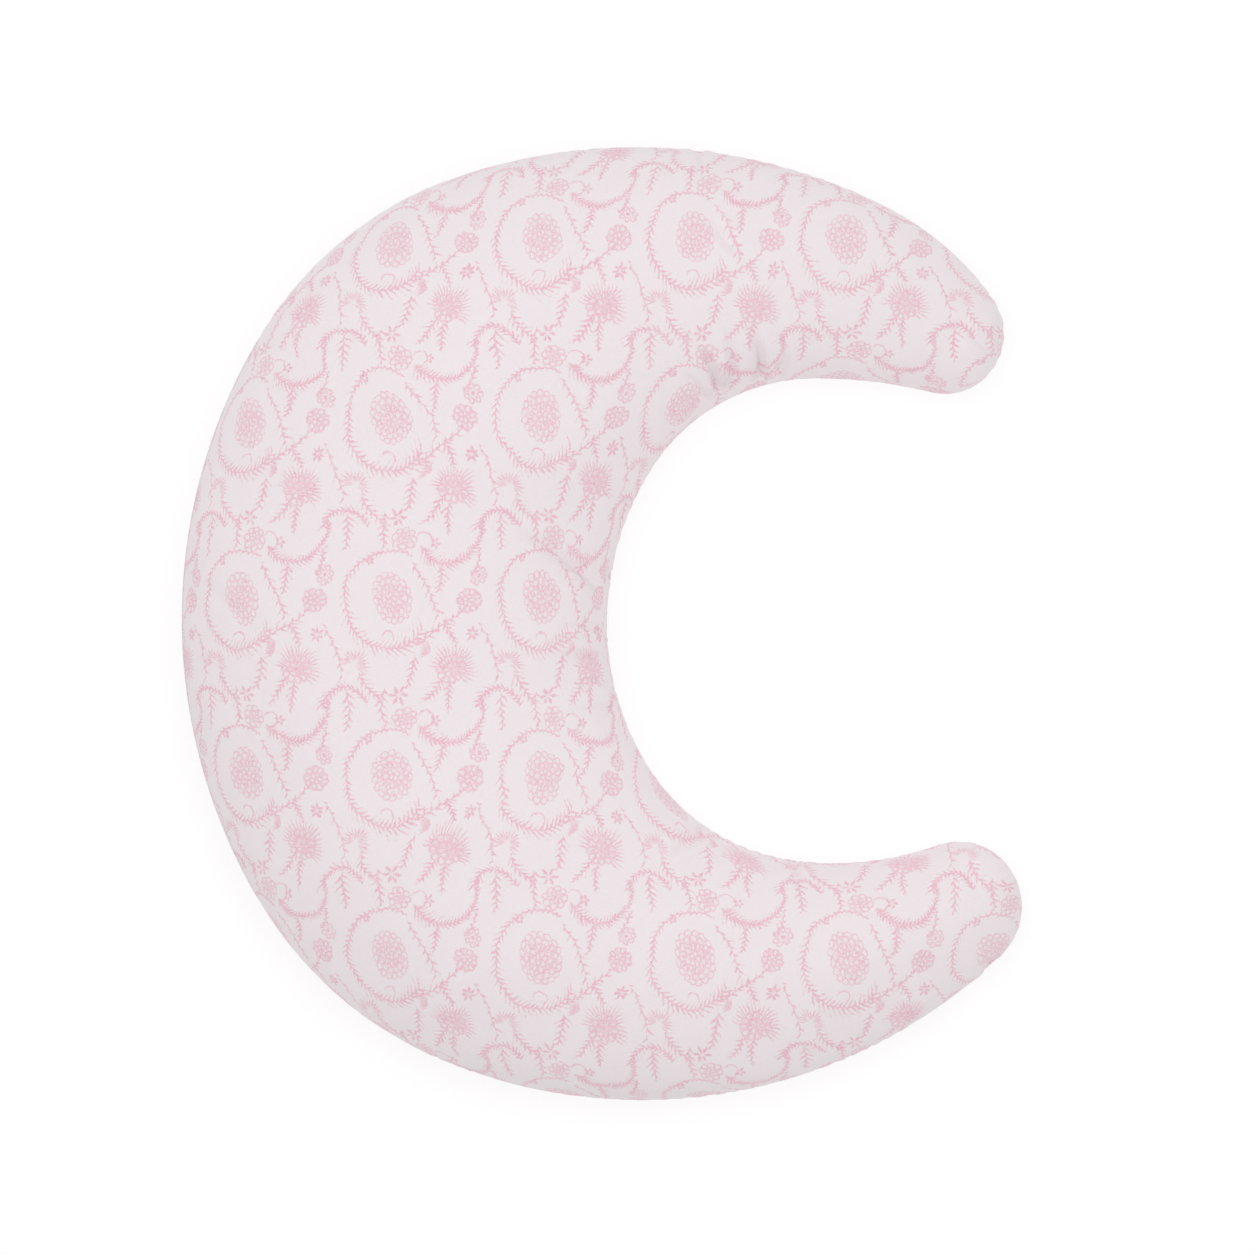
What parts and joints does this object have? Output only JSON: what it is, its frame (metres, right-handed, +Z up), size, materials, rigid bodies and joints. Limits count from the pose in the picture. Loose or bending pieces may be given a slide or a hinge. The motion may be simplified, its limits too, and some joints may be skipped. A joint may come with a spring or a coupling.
{
  "type": "nursing pillow",
  "caption": "C-shaped stuffed nursing pillow in a printed cotton cover, with a zip along its back and a sewn, fibre-filled inner case.",
  "frame": {"origin": "on the resting surface, under the middle of the outline's bounding box", "axes": "+Z up through the thickness, +Y along the longer side of the C, +X out of the mouth between the horns"},
  "size_m": [0.5279, 0.5983, 0.1448],
  "materials": {
    "cotton": "matte",
    "lining": "matte",
    "thread": "matte",
    "tape": "matte",
    "satin": "satin",
    "fibre": "matte",
    "nylon": "satin",
    "enamel": "gloss"
  },
  "bodies": {
    "pillow": {"cover_front_panel": "cotton", "cover_back_panel": "cotton", "cover_seam_overlock": "thread", "zip_tape_upper": "tape", "zip_tape_lower": "tape", "zip_coil_upper": "nylon", "zip_coil_lower": "nylon", "zip_stitching_upper": "thread", "zip_stitching_lower": "thread", "zip_top_stop_upper": "nylon", "zip_top_stop_lower": "nylon", "zip_bottom_stop": "nylon", "care_label": "satin", "inner_case_front": "lining", "inner_case_back": "lining", "inner_case_seam_overlock": "thread", "inner_case_closing_stitches": "thread", "fibre_fill": "fibre"},
    "zip_slider": {"zip_slider_body": "enamel"},
    "zip_pull": {"zip_puller": "enamel"}
  },
  "joints": [
    {"name": "slider_travel", "type": "hinge", "parent": "pillow", "child": "zip_slider", "pos_m": [0.08185, 0.003, 0.06742], "axis": [0, 0, 1], "range_deg": [0, 53]},
    {"name": "puller_flip", "type": "hinge", "parent": "zip_slider", "child": "zip_pull", "pos_m": [-0.2261, 0.15654, 0.06742], "axis": [0, 0, -1], "range_deg": [0, 170]}
  ]
}
